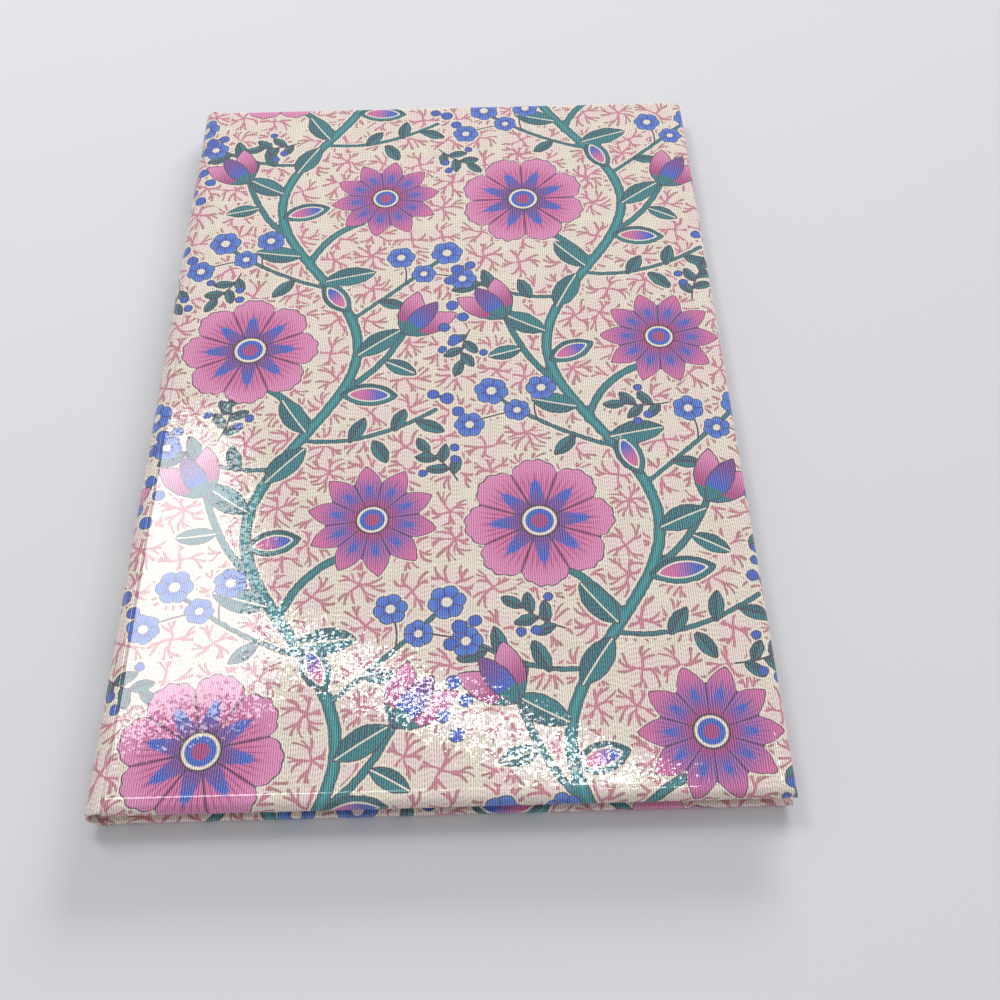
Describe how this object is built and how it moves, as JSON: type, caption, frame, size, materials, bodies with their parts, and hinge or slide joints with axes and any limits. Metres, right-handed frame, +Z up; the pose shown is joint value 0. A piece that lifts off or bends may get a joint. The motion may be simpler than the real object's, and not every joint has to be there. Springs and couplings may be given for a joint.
{
  "type": "address book",
  "caption": "Closed hardback address book with a rounded limp spine, printed paper covers and step-cut index leaves; the cover opens flat and the leaves turn.",
  "frame": {"origin": "on the table, under the middle of the closed book", "axes": "+X from the spine to the fore-edge, +Y from the tail to the head, +Z up through the front cover"},
  "size_m": [0.104, 0.156, 0.0059],
  "materials": {
    "printed_paper": "gloss laminated print with a fine linen rib",
    "greyboard": "plain grey board",
    "endpaper": "matt uncoated",
    "leaf_paper": "matt uncoated, faint ruling",
    "lining_paper": "brown kraft",
    "thread": "waxed linen thread"
  },
  "bodies": {
    "back_cover": {"back_board": "greyboard", "back_cover_paper": "printed_paper", "back_pastedown": "endpaper", "sewing_thread": "thread"},
    "spine_1": {"spine_paper_1": "printed_paper", "spine_liner_1": "lining_paper"},
    "spine_2": {"spine_paper_2": "printed_paper", "spine_liner_2": "lining_paper"},
    "spine_3": {"spine_paper_3": "printed_paper", "spine_liner_3": "lining_paper"},
    "spine_4": {"spine_paper_4": "printed_paper", "spine_liner_4": "lining_paper"},
    "spine_5": {"spine_paper_5": "printed_paper", "spine_liner_5": "lining_paper"},
    "front_cover": {"front_board": "greyboard", "front_cover_paper": "printed_paper", "front_pastedown": "endpaper"},
    "front_flyleaf": {"front_flyleaf": "endpaper"},
    "leaf_a": {"leaf_a": "leaf_paper"},
    "leaf_b": {"leaf_b": "leaf_paper"},
    "leaf_c": {"leaf_c": "leaf_paper"},
    "leaf_d": {"leaf_d": "leaf_paper"},
    "leaf_e": {"leaf_e": "leaf_paper"},
    "leaf_f": {"leaf_f": "leaf_paper"},
    "leaf_g": {"leaf_g": "leaf_paper"},
    "leaf_h": {"leaf_h": "leaf_paper"},
    "leaf_i": {"leaf_i": "leaf_paper"},
    "leaf_j": {"leaf_j": "leaf_paper"},
    "leaf_k": {"leaf_k": "leaf_paper"},
    "leaf_l": {"leaf_l": "leaf_paper"},
    "leaf_m": {"leaf_m": "leaf_paper"},
    "leaf_n": {"leaf_n": "leaf_paper"},
    "leaf_o": {"leaf_o": "leaf_paper"},
    "leaf_p": {"leaf_p": "leaf_paper"},
    "leaf_q": {"leaf_q": "leaf_paper"},
    "leaf_r": {"leaf_r": "leaf_paper"},
    "leaf_s": {"leaf_s": "leaf_paper"},
    "leaf_t": {"leaf_t": "leaf_paper"},
    "leaf_u": {"leaf_u": "leaf_paper"},
    "leaf_v": {"leaf_v": "leaf_paper"},
    "leaf_w": {"leaf_w": "leaf_paper"},
    "leaf_x": {"leaf_x": "leaf_paper"},
    "leaf_y": {"leaf_y": "leaf_paper"},
    "leaf_z": {"leaf_z": "leaf_paper"},
    "back_flyleaf": {"back_flyleaf": "endpaper"}
  },
  "joints": [
    {"name": "cover_hinge", "type": "hinge", "parent": "back_cover", "child": "front_cover", "pos_m": [-0.0536, 0, 0.00296], "axis": [0, -1, 0], "range_deg": [0, 180]},
    {"name": "spine_bend_1", "type": "hinge", "parent": "back_cover", "child": "spine_1", "pos_m": [-0.04902, 0, 0], "axis": [0, -1, 0], "range_deg": [0, 18]},
    {"name": "spine_bend_2", "type": "hinge", "parent": "back_cover", "child": "spine_2", "pos_m": [-0.05025, 0, 0.00019], "axis": [0, -1, 0], "range_deg": [0, 54]},
    {"name": "spine_bend_3", "type": "hinge", "parent": "back_cover", "child": "spine_3", "pos_m": [-0.05123, 0, 0.0006], "axis": [0, -1, 0], "range_deg": [0, 90]},
    {"name": "spine_bend_4", "type": "hinge", "parent": "back_cover", "child": "spine_4", "pos_m": [-0.05219, 0, 0.00126], "axis": [0, -1, 0], "range_deg": [0, 126]},
    {"name": "spine_bend_5", "type": "hinge", "parent": "back_cover", "child": "spine_5", "pos_m": [-0.05313, 0, 0.00224], "axis": [0, -1, 0], "range_deg": [0, 162]},
    {"name": "front_flyleaf_turn", "type": "hinge", "parent": "back_cover", "child": "front_flyleaf", "pos_m": [-0.04902, 0, 0.00296], "axis": [0, -1, 0], "range_deg": [0, 179.4]},
    {"name": "leaf_a_turn", "type": "hinge", "parent": "back_cover", "child": "leaf_a", "pos_m": [-0.04902, 0, 0.00296], "axis": [0, -1, 0], "range_deg": [0, 178.8]},
    {"name": "leaf_b_turn", "type": "hinge", "parent": "back_cover", "child": "leaf_b", "pos_m": [-0.04902, 0, 0.00296], "axis": [0, -1, 0], "range_deg": [0, 178.2]},
    {"name": "leaf_c_turn", "type": "hinge", "parent": "back_cover", "child": "leaf_c", "pos_m": [-0.04902, 0, 0.00296], "axis": [0, -1, 0], "range_deg": [0, 177.6]},
    {"name": "leaf_d_turn", "type": "hinge", "parent": "back_cover", "child": "leaf_d", "pos_m": [-0.04902, 0, 0.00296], "axis": [0, -1, 0], "range_deg": [0, 177]},
    {"name": "leaf_e_turn", "type": "hinge", "parent": "back_cover", "child": "leaf_e", "pos_m": [-0.04902, 0, 0.00296], "axis": [0, -1, 0], "range_deg": [0, 176.4]},
    {"name": "leaf_f_turn", "type": "hinge", "parent": "back_cover", "child": "leaf_f", "pos_m": [-0.04902, 0, 0.00296], "axis": [0, -1, 0], "range_deg": [0, 175.8]},
    {"name": "leaf_g_turn", "type": "hinge", "parent": "back_cover", "child": "leaf_g", "pos_m": [-0.04902, 0, 0.00296], "axis": [0, -1, 0], "range_deg": [0, 175.2]},
    {"name": "leaf_h_turn", "type": "hinge", "parent": "back_cover", "child": "leaf_h", "pos_m": [-0.04902, 0, 0.00296], "axis": [0, -1, 0], "range_deg": [0, 174.6]},
    {"name": "leaf_i_turn", "type": "hinge", "parent": "back_cover", "child": "leaf_i", "pos_m": [-0.04902, 0, 0.00296], "axis": [0, -1, 0], "range_deg": [0, 174]},
    {"name": "leaf_j_turn", "type": "hinge", "parent": "back_cover", "child": "leaf_j", "pos_m": [-0.04902, 0, 0.00296], "axis": [0, -1, 0], "range_deg": [0, 173.4]},
    {"name": "leaf_k_turn", "type": "hinge", "parent": "back_cover", "child": "leaf_k", "pos_m": [-0.04902, 0, 0.00296], "axis": [0, -1, 0], "range_deg": [0, 172.8]},
    {"name": "leaf_l_turn", "type": "hinge", "parent": "back_cover", "child": "leaf_l", "pos_m": [-0.04902, 0, 0.00296], "axis": [0, -1, 0], "range_deg": [0, 172.2]},
    {"name": "leaf_m_turn", "type": "hinge", "parent": "back_cover", "child": "leaf_m", "pos_m": [-0.04902, 0, 0.00296], "axis": [0, -1, 0], "range_deg": [0, 171.6]},
    {"name": "leaf_n_turn", "type": "hinge", "parent": "back_cover", "child": "leaf_n", "pos_m": [-0.04902, 0, 0.00296], "axis": [0, -1, 0], "range_deg": [0, 8.4]},
    {"name": "leaf_o_turn", "type": "hinge", "parent": "back_cover", "child": "leaf_o", "pos_m": [-0.04902, 0, 0.00296], "axis": [0, -1, 0], "range_deg": [0, 7.8]},
    {"name": "leaf_p_turn", "type": "hinge", "parent": "back_cover", "child": "leaf_p", "pos_m": [-0.04902, 0, 0.00296], "axis": [0, -1, 0], "range_deg": [0, 7.2]},
    {"name": "leaf_q_turn", "type": "hinge", "parent": "back_cover", "child": "leaf_q", "pos_m": [-0.04902, 0, 0.00296], "axis": [0, -1, 0], "range_deg": [0, 6.6]},
    {"name": "leaf_r_turn", "type": "hinge", "parent": "back_cover", "child": "leaf_r", "pos_m": [-0.04902, 0, 0.00296], "axis": [0, -1, 0], "range_deg": [0, 6]},
    {"name": "leaf_s_turn", "type": "hinge", "parent": "back_cover", "child": "leaf_s", "pos_m": [-0.04902, 0, 0.00296], "axis": [0, -1, 0], "range_deg": [0, 5.4]},
    {"name": "leaf_t_turn", "type": "hinge", "parent": "back_cover", "child": "leaf_t", "pos_m": [-0.04902, 0, 0.00296], "axis": [0, -1, 0], "range_deg": [0, 4.8]},
    {"name": "leaf_u_turn", "type": "hinge", "parent": "back_cover", "child": "leaf_u", "pos_m": [-0.04902, 0, 0.00296], "axis": [0, -1, 0], "range_deg": [0, 4.2]},
    {"name": "leaf_v_turn", "type": "hinge", "parent": "back_cover", "child": "leaf_v", "pos_m": [-0.04902, 0, 0.00296], "axis": [0, -1, 0], "range_deg": [0, 3.6]},
    {"name": "leaf_w_turn", "type": "hinge", "parent": "back_cover", "child": "leaf_w", "pos_m": [-0.04902, 0, 0.00296], "axis": [0, -1, 0], "range_deg": [0, 3]},
    {"name": "leaf_x_turn", "type": "hinge", "parent": "back_cover", "child": "leaf_x", "pos_m": [-0.04902, 0, 0.00296], "axis": [0, -1, 0], "range_deg": [0, 2.4]},
    {"name": "leaf_y_turn", "type": "hinge", "parent": "back_cover", "child": "leaf_y", "pos_m": [-0.04902, 0, 0.00296], "axis": [0, -1, 0], "range_deg": [0, 1.8]},
    {"name": "leaf_z_turn", "type": "hinge", "parent": "back_cover", "child": "leaf_z", "pos_m": [-0.04902, 0, 0.00296], "axis": [0, -1, 0], "range_deg": [0, 1.2]},
    {"name": "back_flyleaf_turn", "type": "hinge", "parent": "back_cover", "child": "back_flyleaf", "pos_m": [-0.04902, 0, 0.00296], "axis": [0, -1, 0], "range_deg": [0, 0.6]}
  ],
  "couplings": [
    {"joint": "spine_bend_1", "follows": "cover_hinge", "ratio": 0.1},
    {"joint": "spine_bend_2", "follows": "cover_hinge", "ratio": 0.3},
    {"joint": "spine_bend_3", "follows": "cover_hinge", "ratio": 0.5},
    {"joint": "spine_bend_4", "follows": "cover_hinge", "ratio": 0.7},
    {"joint": "spine_bend_5", "follows": "cover_hinge", "ratio": 0.9},
    {"joint": "front_flyleaf_turn", "follows": "cover_hinge", "ratio": 0.99667},
    {"joint": "leaf_a_turn", "follows": "cover_hinge", "ratio": 0.99333},
    {"joint": "leaf_b_turn", "follows": "cover_hinge", "ratio": 0.99},
    {"joint": "leaf_c_turn", "follows": "cover_hinge", "ratio": 0.98667},
    {"joint": "leaf_d_turn", "follows": "cover_hinge", "ratio": 0.98333},
    {"joint": "leaf_e_turn", "follows": "cover_hinge", "ratio": 0.98},
    {"joint": "leaf_f_turn", "follows": "cover_hinge", "ratio": 0.97667},
    {"joint": "leaf_g_turn", "follows": "cover_hinge", "ratio": 0.97333},
    {"joint": "leaf_h_turn", "follows": "cover_hinge", "ratio": 0.97},
    {"joint": "leaf_i_turn", "follows": "cover_hinge", "ratio": 0.96667},
    {"joint": "leaf_j_turn", "follows": "cover_hinge", "ratio": 0.96333},
    {"joint": "leaf_k_turn", "follows": "cover_hinge", "ratio": 0.96},
    {"joint": "leaf_l_turn", "follows": "cover_hinge", "ratio": 0.95667},
    {"joint": "leaf_m_turn", "follows": "cover_hinge", "ratio": 0.95333},
    {"joint": "leaf_n_turn", "follows": "cover_hinge", "ratio": 0.046667},
    {"joint": "leaf_o_turn", "follows": "cover_hinge", "ratio": 0.043333},
    {"joint": "leaf_p_turn", "follows": "cover_hinge", "ratio": 0.04},
    {"joint": "leaf_q_turn", "follows": "cover_hinge", "ratio": 0.036667},
    {"joint": "leaf_r_turn", "follows": "cover_hinge", "ratio": 0.033333},
    {"joint": "leaf_s_turn", "follows": "cover_hinge", "ratio": 0.03},
    {"joint": "leaf_t_turn", "follows": "cover_hinge", "ratio": 0.026667},
    {"joint": "leaf_u_turn", "follows": "cover_hinge", "ratio": 0.023333},
    {"joint": "leaf_v_turn", "follows": "cover_hinge", "ratio": 0.02},
    {"joint": "leaf_w_turn", "follows": "cover_hinge", "ratio": 0.016667},
    {"joint": "leaf_x_turn", "follows": "cover_hinge", "ratio": 0.013333},
    {"joint": "leaf_y_turn", "follows": "cover_hinge", "ratio": 0.01},
    {"joint": "leaf_z_turn", "follows": "cover_hinge", "ratio": 0.0066667},
    {"joint": "back_flyleaf_turn", "follows": "cover_hinge", "ratio": 0.0033333}
  ]
}
